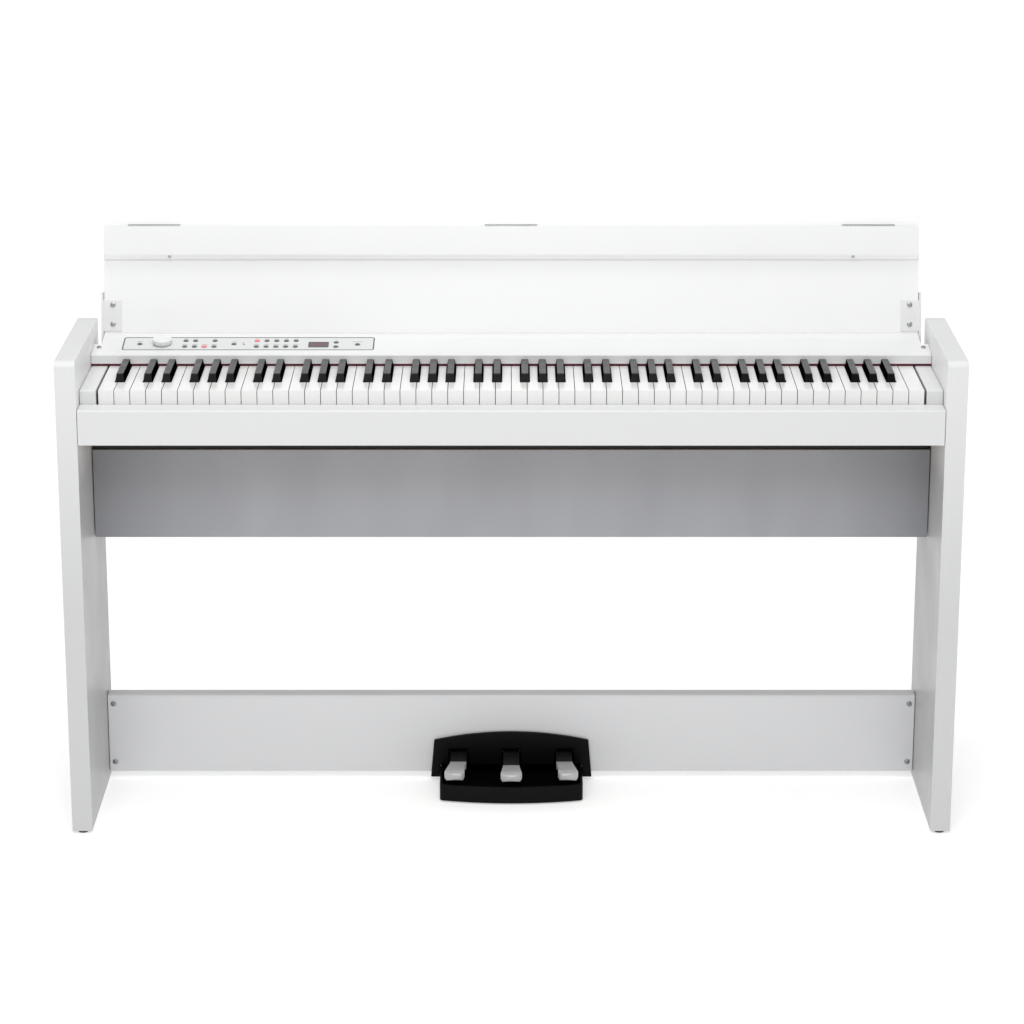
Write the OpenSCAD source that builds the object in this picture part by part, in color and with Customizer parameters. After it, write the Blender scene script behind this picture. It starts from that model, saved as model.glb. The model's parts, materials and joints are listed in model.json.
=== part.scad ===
// Slim digital piano on its stand, with a lid that folds over the keys and three pedals.
// Millimetres. +X is the player's right, +Y is away from the player and +Z is up.
// The origin is on the floor, in the middle of the footprint with the lid open.
// Inside the modules, Y is counted backwards from the front edge of the side panels.

/* [Cabinet] */
// Width over both side panels
body_w = 1345; // [1342:1:1360]
// Depth of the side panels, front to back
body_depth = 270; // [269:1:276]
// Thickness of each side panel
side_t = 30.5; // [28:0.5:32]
// Height of the side panels' top face above the floor
side_top_z = 748; // [748:1:760]
// Height of the glides under the side panels
foot_h = 5; // [3:0.5:8]
// Height of the stretcher's top face
stretcher_top_z = 145; // [130:1:150]

/* [Keyboard] */
// Height of the white keys' top faces above the floor
key_top_z = 695; // [693:0.5:695]
// Width of one white key with its gap
key_pitch = 23.6; // [23:0.1:23.6]
// Gap between two white keys
key_gap = 1; // [0.8:0.1:1.2]
// Height of the black keys above the white ones
sharp_h = 12; // [10:0.5:12]

/* [Lid] */
// How far the open lid leans back from upright, in degrees
lid_lean = 12.5; // [10:0.5:14]
// Thickness of the lid board
lid_t = 15; // [12:0.5:15]
// Thickness of the front flap
flap_t = 12.4; // [10:0.2:12.4]

/* [Controls] */
// Slope of the top panel, in degrees
panel_slope = 10; // [8:0.5:10]
// Radius of a push button
button_r = 4; // [3:0.25:4]
// Radius of the volume knob
knob_r = 14.6; // [12:0.2:15]

/* [Pedals] */
// Distance between neighbouring pedals
pedal_pitch = 84; // [80:1:84]
// Height of the pedals' top faces above the floor
pedal_top_z = 47.5; // [45:0.5:48.5]

/* [Hidden] */
$fn = 48;

// Running clearance of a shaft in its bore, and the gap between pieces that only lie together
bore_clear = 0.06;
fit_gap = 0.3;
// Half of the space between the side panels
inner_half = body_w / 2 - side_t;
// Half length of the boards that stand between the side panels
board_half = inner_half - 0.7;

// Lid: pivot axis, and places in the lid's own plane. s runs up the lid from the pivot, and
// d runs backwards, square to it. Closed, s points forwards and d points up.
lid_pivot_y = 218;
lid_inner_d = 31;
lid_outer_d = lid_inner_d + lid_t;
lid_pivot_z = 702;
lid_half = 630;
lid_s0 = 32;
lid_s1 = 212;
lid_back_y = lid_pivot_y + lid_s1 * sin(lid_lean) + lid_outer_d * cos(lid_lean);
frame_y = lid_back_y / 2;
pivot_pin_r = 4;
pivot_pin_depth = 11;
bracket_x = 631;
bracket_t = 3.2;
bracket_eye_r = 9;
bracket_arm_s = 96;
bracket_arm_d = 28;
flange_x = 602.5;
flange_s = [36, 84];
flange_d = 29.8;
lid_screw_x = 616.5;
lid_screw_s = [47, 77];
lid_screw_r = 4;

// Front flap and its three butt hinges
flap_half = 628;
flap_hinge_s = 198.6;
flap_hinge_d = 30;
flap_len = 52;
flap_gap = 0.4;
flap_bevel = [8, flap_t - 1.4];
hinge_len = 80;
hinge_xs = [-552, 0, 552];
hinge_leaf = [24, 1.2];
knuckle_r = 1.9;
knuckle_count = 5;
knuckle_gap = 0.5;
hinge_pin_r = 0.9;
bumper_x = 527.5;
bumper_r = 2.4;
bumper_start = 2.6;
bumper_len = 9;

// Keyboard chassis
keybed_z = 604;
keybed_t = 16;
keybed_y = [56, 258];
floor_z = keybed_z + keybed_t;
slip_depth = 34;
slip_top_z = 674;
slip_foot = [65, 12];
cheek_step_y = 191;
cheek_back_y = 207;
cover_y = [258, 262];
cover_screw_xs = [200, 600];
cover_screw_zs = [616, 706];
key_front_y = 35.3;
key_bottom_z = key_top_z - 23;
head_back_y = 82;
tail_back_y = 192;
sharp_front_y = 83.3;
sharp_back_y = 174.5;
sharp_half = 6.85;
sharp_top_half = 5;
sharp_gap = 0.9;
sharp_slope = 6;
key_pivot_y = 238;
key_pivot_z = 684;
key_rod_r = 2;
stick_w = 8;
stick_h = 14;
stick_back_y = 246;
white_count = 52;
keyboard_half = white_count / 2 * key_pitch;
chassis_t = 8;
ridge_y = [66, 82];
ridge_z = key_bottom_z - 15;
rest_felt_y = [67, 81];
rest_felt_z = key_bottom_z - 9;
rod_post_y = [230, 250];
rod_post_t = 3;
back_rib = [[249, 257], 672];
sensor_y = [120, 156];
sensor_z = 640;
sensor_half = 600;
sensor_post_pitch = 118;
sharp_shift = [-2.3, 2.3, undef, -3.2, 0, 3.2, undef];

// Sloped top panel
lip_y = 177;
lip_top_z = 713;
lip_bottom_z = 699;
panel_back_y = 252;
panel_t = 3;
panel_back_half = 629.6;
notch_y = 216.3;
panel_flange_z = 704;
panel_lip_foot = 13;
panel_screw_at = [632, 27];
panel_screw_r = [3.8, 1.5];
main_board_at = [[120, 196, 697.4], [380, 244, 699]];

// Controls: X and distance up the panel
knob_at = [-536.5, 41];
power_at = [-571, 40];
bank_at = [-426.4, 40];
record_at = [-236.3, 38.5];
value_up_at = [-269.4, 46];
value_down_at = [-269.4, 30.2];
button_pitch = 15;
row_upper = 52;
row_lower = 30.5;
effect_x = -501.3;
sound_x = -391.4;
sound_columns = 5;
led_at = [[-411.9, 43.5], [-411, 37.5]];
led_r = 1.2;
display_at = [-296.2, 37.8];
display_size = [31.2, 20.4];
button_top = 0.9;
button_bottom = -8;
button_flange = [5.6, 1.2];
knob_shaft_r = 3;
board_z = -12;
board_t = 1.6;
board_span = [[-600, 18], [-206, 64]];
board_post_xs = [-592, -440, -322, -216];
board_post_ys = [21, 61];
hole_z = [-5, 3];

// Speakers
grille_y = 147;
grille_z = [430.5, 571];
grille_t = 2.2;
grille_rim = 8;
baffle_y = 152;
box_back_y = 256;
box_wall = 12;
speaker_x = 480;
speaker_z = 500;
speaker_r = 46;
magnet_r = 32;
magnet_back = 56;

// Stretcher and pedal unit
stretcher_y = 217;
stretcher_t = 24;
stretcher_z = 15;
stretcher_screw_x = 632;
stretcher_screw_zs = [31.5, 130];
base_half = 112.5;
base_wall = 4;
base_floor_z = 2.5;
base_rim_z = 29;
base_front_y = 114;
base_side_y = 126;
base_back_y = 262;
base_box_z = 56;
base_corner = 5.5;
plate_t = 7;
plate_z = 8;
plate_half = 128.2;
plate_shoulder = [122.8, 70];
plate_crown_z = 84;
arm_half = 12.6;
arm_t = 10;
arm_slot_half = 15.2;
arm_slot_rise = 8.5;
axle_y = 248;
axle_r = 4;
boss_r = 9;
side_tip_y = [131, 177];
middle_tip_y = [125, 162];
tip_drop = 14;
tip_corner = 2.5;

// Notes of the seven white keys, counted from C; the lowest white key is an A
function white_note(i) = (i + 5) % 7;
function has_sharp(i) = i >= 0 && i < white_count - 1 && !is_undef(sharp_shift[white_note(i)]);
function white_x(i) = (i - white_count / 2) * key_pitch;
function sharp_x(i) = white_x(i + 1) + sharp_shift[white_note(i)];
function tail_left(i) = has_sharp(i - 1) ? sharp_x(i - 1) + sharp_half + sharp_gap
                                         : white_x(i) + key_gap / 2;
function tail_right(i) = has_sharp(i) ? sharp_x(i) - sharp_half - sharp_gap
                                      : white_x(i + 1) - key_gap / 2;

// Height of a shallow arch at x: flat at its crown and lower by drop at x = half
function arch(x, half, drop) = -drop * pow(x / half, 2);

// ---- placing helpers ----

module from_front() {
    translate([0, -frame_y, 0]) children();
}

// Extrudes a Y-Z outline along X, from x0 to x1
module along_x(x0, x1) {
    translate([x0, 0, 0]) rotate([90, 0, 90]) linear_extrude(x1 - x0) children();
}

// Extrudes an X-Z outline along Y, from y0 to y1
module along_y(y0, y1) {
    translate([0, y1, 0]) rotate([90, 0, 0]) linear_extrude(y1 - y0) children();
}

// The panel's own plane: X, distance up the slope, and height above the surface
module on_panel() {
    from_front() translate([0, lip_y, lip_top_z]) rotate([panel_slope, 0, 0]) children();
}

// The lid's own plane: X, d and s
module on_lid() {
    from_front() translate([0, lid_pivot_y, lid_pivot_z]) rotate([-lid_lean, 0, 0]) children();
}

module both_sides() {
    children();
    mirror([1, 0, 0]) children();
}

module block(low, high) {
    translate(low) cube(high - low);
}

// A pan head screw with a cross recess, standing up along +Z
module pan_screw(head_r, shank_r, shank_l) {
    recess_l = head_r * 1.1;
    recess_w = head_r * 0.28;
    recess_d = head_r * 0.3;
    head_h = head_r * 0.5;
    difference() {
        union() {
            rotate_extrude() polygon([[0, 0], [head_r, 0], [head_r, head_h * 0.45],
                                      [head_r * 0.75, head_h * 0.9], [head_r * 0.35, head_h],
                                      [0, head_h]]);
            translate([0, 0, -shank_l]) cylinder(r = shank_r, h = shank_l + head_h / 2);
        }
        for (turn = [0, 90])
            rotate([0, 0, turn])
                translate([-recess_l / 2, -recess_w / 2, head_h - recess_d])
                    cube([recess_l, recess_w, recess_d + 1]);
    }
}

// ---- cabinet ----

module side_panel() {
    corner_r = 10;
    from_front() difference() {
        along_x(inner_half, body_w / 2) difference() {
            translate([0, foot_h]) square([body_depth, side_top_z - foot_h]);
            translate([0, side_top_z - corner_r]) difference() {
                translate([-1, 0]) square([corner_r + 1, corner_r + 1]);
                translate([corner_r, 0]) circle(corner_r);
            }
        }
        pin_holes(pivot_pin_r + bore_clear);
    }
}

// Bores for the lid's pivot and stop pins, in the right-hand panel
module pin_holes(r) {
    for (at = [[lid_pivot_y, lid_pivot_z], lid_stop_at()])
        translate([inner_half - 1, at[0], at[1]]) rotate([0, 90, 0]) cylinder(r = r, h = pivot_pin_depth + 2);
}

// The open lid's bracket comes to rest on this pin
function lid_stop_at() = let (d = 38, s = -bracket_eye_r - pivot_pin_r - fit_gap)
    [lid_pivot_y + s * sin(lid_lean) + d * cos(lid_lean),
     lid_pivot_z + s * cos(lid_lean) - d * sin(lid_lean)];

module right_side_panel() {
    color("whitesmoke") side_panel();
}

module left_side_panel() {
    color("whitesmoke") mirror([1, 0, 0]) side_panel();
}

module floor_feet() {
    foot_r = 8.6;
    inset = foot_r + 4.4;
    color("dimgray") both_sides() from_front()
        for (y = [inset, body_depth - inset])
            translate([body_w / 2 - side_t / 2, y, 0]) {
                cylinder(r1 = foot_r - 1, r2 = foot_r, h = 1);
                translate([0, 0, 1]) cylinder(r = foot_r, h = foot_h - 1);
            }
}

module keybed() {
    color("burlywood") from_front()
        block([-board_half, keybed_y[0], keybed_z], [board_half, keybed_y[1], floor_z]);
}

// The rail in front of the keys, with a foot that stands on the keybed
module key_slip() {
    edge_r = 3;
    color("whitesmoke") from_front() along_x(-board_half, board_half) difference() {
        polygon([[0, floor_z], [0, slip_top_z], [slip_depth, slip_top_z],
                 [slip_depth, floor_z + slip_foot[1]], [slip_foot[0], floor_z + slip_foot[1]],
                 [slip_foot[0], floor_z]]);
        translate([0, slip_top_z - edge_r]) difference() {
            translate([-1, 0]) square([edge_r + 1, edge_r + 1]);
            translate([edge_r, 0]) circle(edge_r);
        }
    }
}

module cheek_blocks() {
    x0 = keyboard_half + 3;
    front_y = slip_foot[0] + fit_gap;
    top_z = key_top_z;
    color("whitesmoke") both_sides() from_front() along_x(x0, board_half)
        polygon([[front_y, floor_z], [front_y, floor_z + slip_foot[1] + 1],
                 [slip_depth + 1, floor_z + slip_foot[1] + 1], [slip_depth + 1, top_z],
                 [cheek_step_y, top_z], [cheek_step_y, lip_top_z - 4],
                 [cheek_back_y, lip_top_z - 1], [cheek_back_y, floor_z]]);
}

module rear_cover() {
    notch_x = 627;
    notch_z = 676;
    cover_top_z = 718;
    color("whitesmoke") from_front() difference() {
        block([-board_half, cover_y[0], keybed_z + 2], [board_half, cover_y[1], cover_top_z]);
        both_sides() block([notch_x, cover_y[0] - 1, notch_z],
                           [board_half + 1, cover_y[1] + 1, cover_top_z + 1]);
        jack_cutout();
    }
}

// ---- top panel and controls ----

module top_panel() {
    lip_back_y = lip_y + panel_lip_foot;
    rise = (panel_back_y - lip_y) * tan(panel_slope);
    drop = panel_t / cos(panel_slope);
    color("white") {
        difference() {
            from_front() difference() {
                along_x(-board_half, board_half)
                    polygon([[lip_y, lip_bottom_z], [lip_y, lip_top_z - 1.2],
                             [lip_y + 1.2, lip_top_z + 1.2 * tan(panel_slope)],
                             [panel_back_y, lip_top_z + rise], [panel_back_y, panel_flange_z],
                             [panel_back_y - panel_t, panel_flange_z],
                             [panel_back_y - panel_t, lip_top_z + rise - drop - 0.5],
                             [lip_y + panel_t, lip_top_z - drop + 0.5],
                             [lip_y + panel_t, lip_bottom_z + 2],
                             [lip_back_y, lip_bottom_z + 2], [lip_back_y, lip_bottom_z]]);
                both_sides() block([panel_back_half, notch_y, lip_bottom_z - 1],
                                   [board_half + 1, panel_back_y + 1, lip_top_z + 20]);
            }
            on_panel() control_holes();
        }
        on_panel() board_posts();
    }
}

module control_hole(at, r) {
    translate([at[0], at[1], hole_z[0]]) cylinder(r = r, h = hole_z[1] - hole_z[0]);
}

module control_holes() {
    for (at = all_buttons())
        control_hole(at, button_r + fit_gap);
    for (at = led_at)
        control_hole(at, led_r + 0.1);
    control_hole(knob_at, knob_shaft_r + 0.6);
    both_sides() control_hole(panel_screw_at, panel_screw_r[1] + 0.4);
    translate([display_at[0], display_at[1], 0])
        cube([display_size[0] + 0.2, display_size[1] + 0.2, 10], center = true);
}

// Posts under the panel that carry the control board
module board_posts() {
    post_r = 2.5;
    for (x = board_post_xs, y = board_post_ys)
        translate([x, y, board_z + board_t]) cylinder(r = post_r, h = -board_z - board_t - 2);
}

function effect_buttons_at() = concat(
    [for (i = [0, 1, 3]) [effect_x + i * button_pitch, row_upper]],
    [for (i = [0:3]) [effect_x + i * button_pitch, row_lower]]);
function sound_buttons_at() =
    [for (y = [row_upper, row_lower], i = [0:sound_columns - 1]) [sound_x + i * button_pitch, y]];
function all_buttons() = concat(effect_buttons_at(), sound_buttons_at(),
    [power_at, bank_at, record_at, value_up_at, value_down_at]);

// Round push buttons with a domed cap above the panel and a flange below it
module buttons(places) {
    flange_z = -panel_t - 2.2;
    color("dimgray") on_panel()
        for (at = places)
            translate([at[0], at[1], 0]) rotate_extrude()
                polygon([[0, button_bottom], [button_r - 1, button_bottom],
                         [button_r - 1, flange_z - button_flange[1]],
                         [button_flange[0], flange_z - button_flange[1]],
                         [button_flange[0], flange_z], [button_r, flange_z],
                         [button_r, button_top - 0.7], [button_r - 0.6, button_top - 0.15],
                         [button_r - 1.8, button_top], [0, button_top]]);
}

module power_button() { buttons([power_at]); }
module effect_buttons() { buttons(effect_buttons_at()); }
module bank_button() { buttons([bank_at]); }
module sound_buttons() { buttons(sound_buttons_at()); }
module value_up_button() { buttons([value_up_at]); }
module value_down_button() { buttons([value_down_at]); }
module record_button() { buttons([record_at]); }

module volume_knob() {
    knob_h = 9;
    skirt_z = 1;
    edge = 1.2;
    shaft_z = board_z + board_t + 1;
    mark_w = 1.2;
    color("whitesmoke") on_panel() translate([knob_at[0], knob_at[1], 0]) difference() {
        rotate_extrude()
            polygon(concat([[0, shaft_z], [knob_shaft_r, shaft_z], [knob_shaft_r, skirt_z],
                            [knob_r - 1.6, skirt_z], [knob_r - 1.6, skirt_z + 1.6],
                            [knob_r, skirt_z + 2.2]],
                           [for (a = [0:18:90]) [knob_r - edge + edge * cos(a),
                                                 knob_h - edge + edge * sin(a)]],
                           [[0, knob_h]]));
        translate([-mark_w / 2, knob_r - 6, knob_h - 0.5]) cube([mark_w, 10, 2]);
    }
}

module display_window() {
    window_t = 3.2;
    proud = 0.3;
    color([0.15, 0.1, 0.1]) on_panel()
        translate([display_at[0], display_at[1], proud - window_t / 2])
            cube([display_size[0], display_size[1], window_t], center = true);
}

module indicator_leds() {
    base_z = -9;
    top_z = 0.4;
    color("firebrick") on_panel()
        for (at = led_at)
            translate([at[0], at[1], base_z]) cylinder(r = led_r, h = top_z - base_z);
}

module panel_screws() {
    color("gainsboro") on_panel() both_sides()
        translate([panel_screw_at[0], panel_screw_at[1], 0])
            pan_screw(panel_screw_r[0], panel_screw_r[1], panel_t - 0.4);
}

module control_board() {
    color("darkgreen") on_panel()
        block([board_span[0][0], board_span[0][1], board_z],
              [board_span[1][0], board_span[1][1], board_z + board_t]);
}

module main_board() {
    chip = [14, 14, 2];
    chip_y = 212;
    color("darkgreen") from_front() {
        block(main_board_at[0], main_board_at[1]);
        for (x = [160:60:340])
            translate([x, chip_y, main_board_at[1][2]]) cube(chip);
    }
}

// ---- keyboard mechanism ----

module key_frame() {
    half = keyboard_half;
    deck_z = floor_z + chassis_t;
    post_top_z = key_pivot_z + 6;
    color("lightgray") from_front() difference() {
        union() {
            along_x(-half, half)
                polygon([[ridge_y[0], floor_z], [ridge_y[0], ridge_z], [ridge_y[1], ridge_z],
                         [ridge_y[1], deck_z], [back_rib[0][0], deck_z],
                         [back_rib[0][0], back_rib[1]], [back_rib[0][1], back_rib[1]],
                         [back_rib[0][1], floor_z]]);
            for (x = concat([-half, half - rod_post_t],
                            [for (i = [2:7:white_count - 1]) white_x(i) - rod_post_t / 2]))
                block([x, rod_post_y[0], deck_z - 1], [x + rod_post_t, rod_post_y[1], post_top_z]);
        }
        translate([-half - 1, key_pivot_y, key_pivot_z]) rotate([0, 90, 0])
            cylinder(r = key_rod_r + bore_clear, h = 2 * half + 2);
    }
}

module key_pivot_rod() {
    color("silver") from_front()
        translate([-keyboard_half, key_pivot_y, key_pivot_z]) rotate([0, 90, 0])
            cylinder(r = key_rod_r, h = 2 * keyboard_half);
}

module felt_strip() {
    felt_y = [lip_y + 0.4, lip_y + 9];
    color([0.35, 0.05, 0.1]) from_front()
        block([-board_half, felt_y[0], key_top_z + 0.5], [board_half, felt_y[1], lip_bottom_z]);
}

module key_rest_felt() {
    color("firebrick") from_front()
        block([-keyboard_half, rest_felt_y[0], ridge_z], [keyboard_half, rest_felt_y[1], rest_felt_z]);
}

module key_sensor_board() {
    post_r = 3;
    post_y = (sensor_y[0] + sensor_y[1]) / 2;
    deck_z = floor_z + chassis_t;
    color("darkgreen") from_front() {
        block([-sensor_half, sensor_y[0], sensor_z], [sensor_half, sensor_y[1], sensor_z + board_t]);
        for (i = [-5:5])
            translate([i * sensor_post_pitch, post_y, deck_z])
                cylinder(r = post_r, h = sensor_z + board_t / 2 - deck_z);
    }
}

// The narrow bar behind a key that reaches the pivot rod, with its bore
module key_with_stick(x) {
    z0 = key_pivot_z - stick_h / 2;
    difference() {
        union() {
            children();
            block([x - stick_w / 2, sharp_back_y - 12, z0],
                  [x + stick_w / 2, stick_back_y, z0 + stick_h]);
        }
        translate([x - stick_w, key_pivot_y, key_pivot_z]) rotate([0, 90, 0])
            cylinder(r = key_rod_r + bore_clear, h = 2 * stick_w);
    }
}

module white_key(i) {
    left = white_x(i) + key_gap / 2;
    right = white_x(i + 1) - key_gap / 2;
    tail = [tail_left(i), tail_right(i)];
    key_with_stick((tail[0] + tail[1]) / 2)
        translate([0, 0, key_bottom_z]) linear_extrude(key_top_z - key_bottom_z) {
            translate([left, key_front_y]) square([right - left, head_back_y - key_front_y]);
            translate([tail[0], key_front_y])
                square([tail[1] - tail[0], tail_back_y - key_front_y]);
        }
}

module black_key(i) {
    x = sharp_x(i);
    z0 = key_bottom_z + 4;
    z1 = key_top_z + sharp_h;
    key_with_stick(x) intersection() {
        along_x(x - sharp_half, x + sharp_half)
            polygon([[sharp_front_y, z0], [sharp_front_y, key_top_z],
                     [sharp_front_y + sharp_slope, z1 - 1], [sharp_front_y + sharp_slope + 1.5, z1],
                     [sharp_back_y, z1], [sharp_back_y, z0]]);
        along_y(sharp_front_y - 1, sharp_back_y + 1)
            polygon([[x - sharp_half, z0], [x + sharp_half, z0], [x + sharp_half, key_top_z],
                     [x + sharp_top_half, z1], [x - sharp_top_half, z1],
                     [x - sharp_half, key_top_z]]);
    }
}

// All keys of one note. Notes count from C, and sharp is true for the black key after it
module key_group(note, sharp) {
    color(sharp ? "dimgray" : "white") from_front()
        for (i = [0:white_count - 1])
            if (white_note(i) == note) {
                if (!sharp) white_key(i);
                if (sharp && has_sharp(i)) black_key(i);
            }
}

module keys_c() { key_group(0, false); }
module keys_c_sharp() { key_group(0, true); }
module keys_d() { key_group(1, false); }
module keys_d_sharp() { key_group(1, true); }
module keys_e() { key_group(2, false); }
module keys_f() { key_group(3, false); }
module keys_f_sharp() { key_group(3, true); }
module keys_g() { key_group(4, false); }
module keys_g_sharp() { key_group(4, true); }
module keys_a() { key_group(5, false); }
module keys_a_sharp() { key_group(5, true); }
module keys_b() { key_group(6, false); }

// ---- speakers and rear sockets ----

module speaker_box() {
    half = board_half - 2;
    color("dimgray") from_front() difference() {
        block([-half, baffle_y, grille_z[0]], [half, box_back_y, keybed_z]);
        block([box_wall - half, baffle_y + box_wall, grille_z[0] + box_wall],
              [half - box_wall, box_back_y - box_wall, keybed_z - box_wall]);
        both_sides() translate([speaker_x, baffle_y + box_wall + 1, speaker_z])
            rotate([90, 0, 0]) cylinder(r = speaker_r + 0.5, h = box_wall + 2);
    }
}

module speaker_grille() {
    half = board_half - 0.5;
    color([0.6, 0.61, 0.63]) from_front() difference() {
        block([-half, grille_y, grille_z[0]], [half, baffle_y, grille_z[1]]);
        block([grille_rim - half, grille_y + grille_t, grille_z[0] + grille_rim],
              [half - grille_rim, baffle_y + 1, grille_z[1] - grille_rim]);
    }
}

// A driver that faces the player: flange, cone, basket and magnet
module speaker() {
    magnet_front = 34;
    color("black") from_front() translate([speaker_x, baffle_y, speaker_z]) rotate([-90, 0, 0])
        rotate_extrude()
            polygon([[0, 14], [12, 16], [16, 15], [speaker_r - 8, 0], [speaker_r - 3, -1.6],
                     [speaker_r + 6, -1.6], [speaker_r + 6, 0], [speaker_r, 0],
                     [speaker_r - 4, 14], [magnet_r - 6, magnet_front],
                     [magnet_r, magnet_front], [magnet_r, magnet_back], [0, magnet_back]]);
}

module right_speaker() { speaker(); }
module left_speaker() { mirror([1, 0, 0]) speaker(); }

// Rear sockets: power inlet, two phone jacks and a pedal socket, in a plate in the rear cover
jack_plate = [[-430, 628], [-310, 668]];
inlet_at = [-412, 648];
jack_at = [[-386, 648], [-364, 648]];
pedal_socket_at = [-336, 648];

module jack_cutout() {
    rim = 4;
    block([jack_plate[0][0] + rim, cover_y[0] - 1, jack_plate[0][1] + rim],
          [jack_plate[1][0] - rim, cover_y[1] + 1, jack_plate[1][1] - rim]);
}

module rear_jack_panel() {
    plate_t = 2;
    plate_back = cover_y[1] + plate_t;
    sleeve_r = 6;
    sleeve_y = [cover_y[0] - 0.5, plate_back + 1.5];
    jack_r = 3.2;
    inlet_r = 2.8;
    socket = [8, 6];
    color("black") from_front() difference() {
        union() {
            block([jack_plate[0][0], cover_y[1], jack_plate[0][1]],
                  [jack_plate[1][0], plate_back, jack_plate[1][1]]);
            for (at = concat(jack_at, [inlet_at]))
                round_along_y(at, sleeve_r, sleeve_y[0], sleeve_y[1]);
        }
        for (at = jack_at)
            round_along_y(at, jack_r, sleeve_y[0] + 1, sleeve_y[1] + 1);
        round_along_y(inlet_at, inlet_r, sleeve_y[0] + 1, sleeve_y[1] + 1);
        block([pedal_socket_at[0] - socket[0], cover_y[1] - 1, pedal_socket_at[1] - socket[1]],
              [pedal_socket_at[0] + socket[0], plate_back + 1, pedal_socket_at[1] + socket[1]]);
    }
}

// A round bar along Y at an X-Z place
module round_along_y(at, r, y0, y1) {
    translate([at[0], y1, at[1]]) rotate([90, 0, 0]) cylinder(r = r, h = y1 - y0);
}

// ---- stretcher and pedal unit ----

module stretcher() {
    edge_r = 4;
    color("gainsboro") from_front() difference() {
        along_x(-board_half, board_half) difference() {
            translate([stretcher_y, stretcher_z])
                square([stretcher_t, stretcher_top_z - stretcher_z]);
            translate([stretcher_y, stretcher_top_z - edge_r]) difference() {
                translate([-1, 0]) square([edge_r + 1, edge_r + 1]);
                translate([edge_r, 0]) circle(edge_r);
            }
        }
        block([-base_half - 1.5, stretcher_y - 1, 0],
              [base_half + 1.5, stretcher_y + stretcher_t + 1, base_box_z + 2]);
    }
}

// Screws of the stretcher, at the front, and of the rear cover, at the back
module case_screws() {
    head_r = 4.3;
    color("silver") both_sides() from_front() {
        for (z = stretcher_screw_zs)
            translate([stretcher_screw_x, stretcher_y, z]) rotate([90, 0, 0])
                pan_screw(head_r, 2, 0);
        for (x = cover_screw_xs, z = cover_screw_zs)
            translate([x, cover_y[1], z]) rotate([-90, 0, 0]) pan_screw(head_r, 2, 0);
    }
}

// Plan of the pedal base: straight sides, round corners and a bowed front
module base_plan(inset, back_y) {
    half = base_half - inset;
    corner = base_corner;
    polygon(concat([[half, back_y], [-half, back_y], [-half, base_side_y + inset + corner],
                    [-half + corner * 0.3, base_side_y + inset + corner * 0.3]],
                   [for (t = [-1:0.125:1]) let (x = t * (half - corner))
                       [x, base_front_y + inset + 12 * pow(t, 2)]],
                   [[half - corner * 0.3, base_side_y + inset + corner * 0.3],
                    [half, base_side_y + inset + corner]]));
}

module pedal_base() {
    floor_t = 5.5;
    floor_top = base_floor_z + floor_t;
    front_wall = 4;
    box_y = stretcher_y + fit_gap;
    color([0.1, 0.1, 0.1]) from_front() difference() {
        union() {
            translate([0, 0, base_floor_z]) linear_extrude(base_rim_z - base_floor_z)
                base_plan(0, base_back_y);
            block([-base_half, box_y, base_floor_z], [base_half, base_back_y, base_box_z]);
        }
        translate([0, 0, floor_top]) linear_extrude(base_rim_z)
            intersection() {
                base_plan(front_wall, stretcher_y);
                translate([-base_half + base_wall, 0])
                    square([2 * (base_half - base_wall), 300]);
            }
        block([-base_half + base_wall, base_side_y + front_wall + base_corner, floor_top],
              [base_half - base_wall, base_back_y - base_wall, base_rim_z + 1]);
        block([-base_half + base_wall, box_y - 1, floor_top],
              [base_half - base_wall, base_back_y - base_wall, base_box_z - base_wall]);
        translate([-base_half - 1, axle_y, axle_z()]) rotate([0, 90, 0])
            cylinder(r = axle_r + bore_clear, h = 2 * base_half + 2);
    }
}

function axle_z() = pedal_top_z - boss_r;

module pedal_back_plate() {
    color([0.12, 0.12, 0.12]) from_front() difference() {
        along_y(stretcher_y - plate_t, stretcher_y) difference() {
            polygon(concat([[-plate_half, plate_z]],
                           [for (t = [-1:0.1:1])
                               [t * plate_shoulder[0],
                                plate_crown_z + arch(t, 1, plate_crown_z - plate_shoulder[1])]],
                           [[plate_half, plate_z]]));
            translate([-base_half - fit_gap, 0])
                square([2 * (base_half + fit_gap), base_rim_z + fit_gap]);
            for (x = [-pedal_pitch, 0, pedal_pitch])
                translate([x - arm_slot_half, 0]) square([2 * arm_slot_half, pedal_top_z + arm_slot_rise]);
        }
    }
}

module pedal_axle() {
    color("silver") from_front() translate([-base_half + 0.5, axle_y, axle_z()])
        rotate([0, 90, 0]) cylinder(r = axle_r, h = 2 * base_half - 1);
}

// Torsion springs round the axle, beside each pedal's boss
module pedal_springs() {
    wire_r = 0.9;
    coil_r = 5.4;
    turns = 4;
    color("silver") from_front()
        for (x = [-pedal_pitch, 0, pedal_pitch], turn = [0:turns - 1])
            translate([x + arm_half + 2 + turn * (2 * wire_r + 0.1), axle_y, axle_z()])
                rotate([0, 90, 0]) rotate_extrude()
                    translate([coil_r, 0]) circle(wire_r, $fn = 16);
}

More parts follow.
